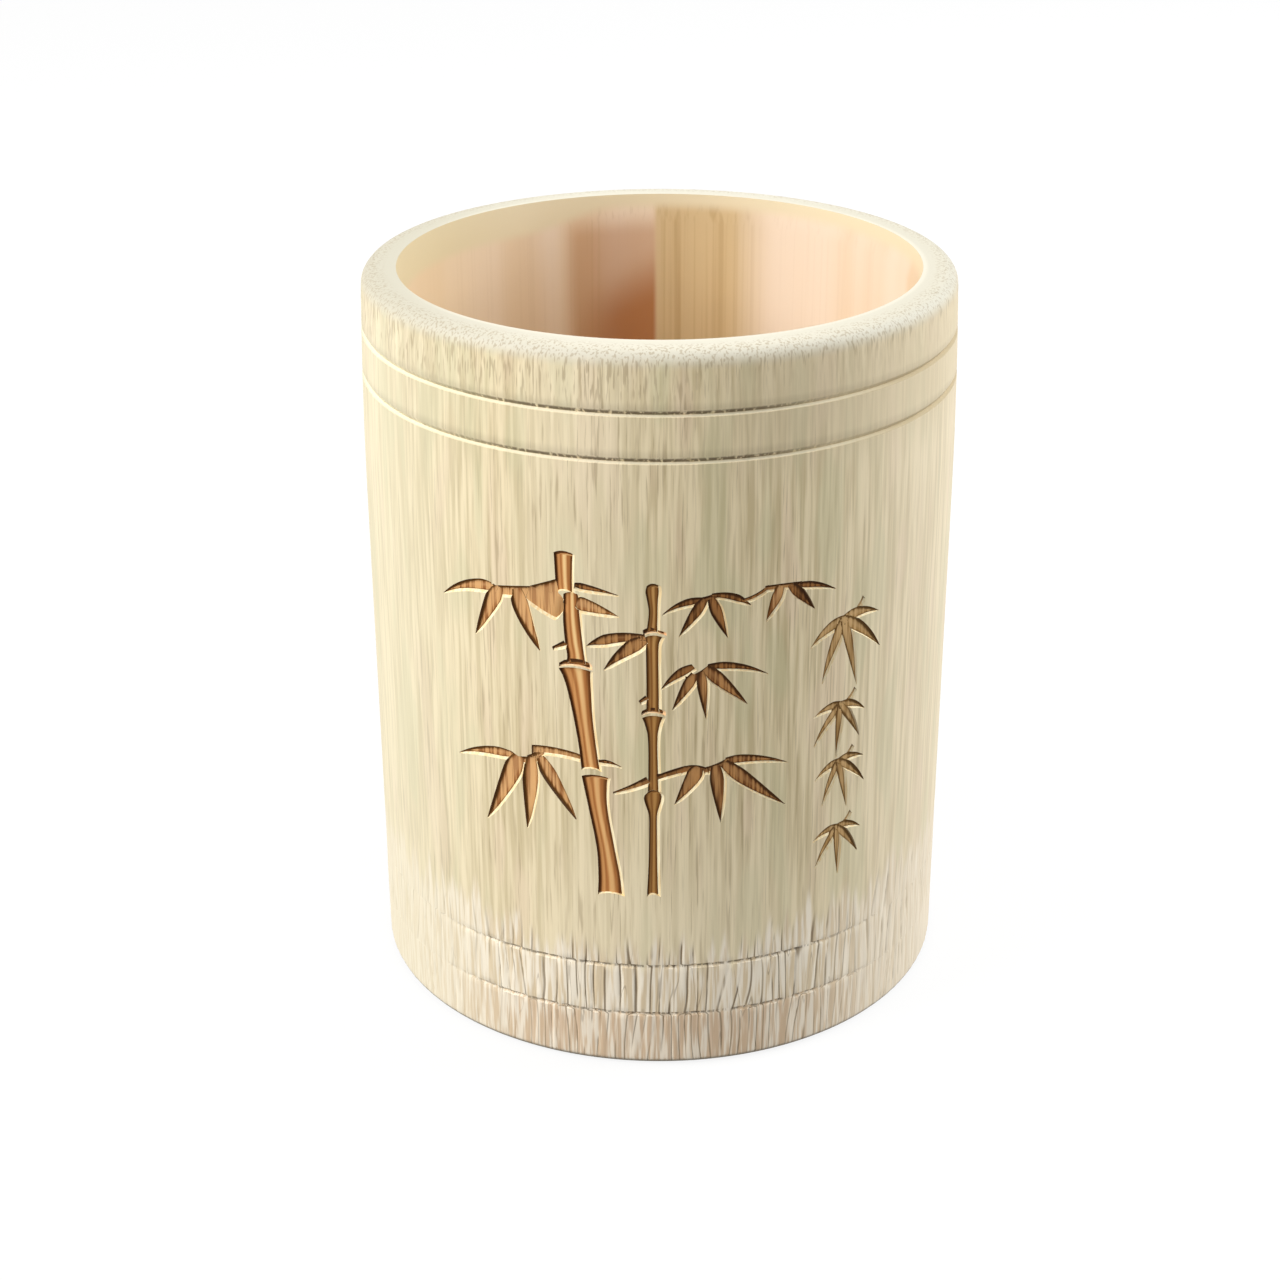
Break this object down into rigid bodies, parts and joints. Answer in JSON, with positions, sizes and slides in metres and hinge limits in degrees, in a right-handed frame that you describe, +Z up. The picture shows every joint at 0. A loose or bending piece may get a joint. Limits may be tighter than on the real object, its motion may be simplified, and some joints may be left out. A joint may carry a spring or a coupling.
{
  "type": "bamboo cup",
  "caption": "Straight-sided bamboo cup with a rounded lip, turned grooves near rim and foot, and a laminated base glued into the foot.",
  "frame": {"origin": "centre of the foot, on the plane that the cup stands on", "axes": "+Z up out of the mouth, -Y towards the carved front, +X to the right seen from the front"},
  "size_m": [0.08, 0.08, 0.1],
  "materials": {
    "culm": "sanded bare bamboo",
    "base_bamboo": "sanded laminated bamboo",
    "glue": "cured amber glue"
  },
  "bodies": {
    "root": {"culm_wall": "culm", "glue_seam": "glue", "base_strip_01": "base_bamboo", "base_strip_02": "base_bamboo", "base_strip_03": "base_bamboo", "base_strip_04": "base_bamboo", "base_strip_05": "base_bamboo", "base_strip_06": "base_bamboo", "base_strip_07": "base_bamboo", "base_strip_08": "base_bamboo", "base_strip_09": "base_bamboo", "base_strip_10": "base_bamboo", "base_strip_11": "base_bamboo"}
  },
  "joints": []
}
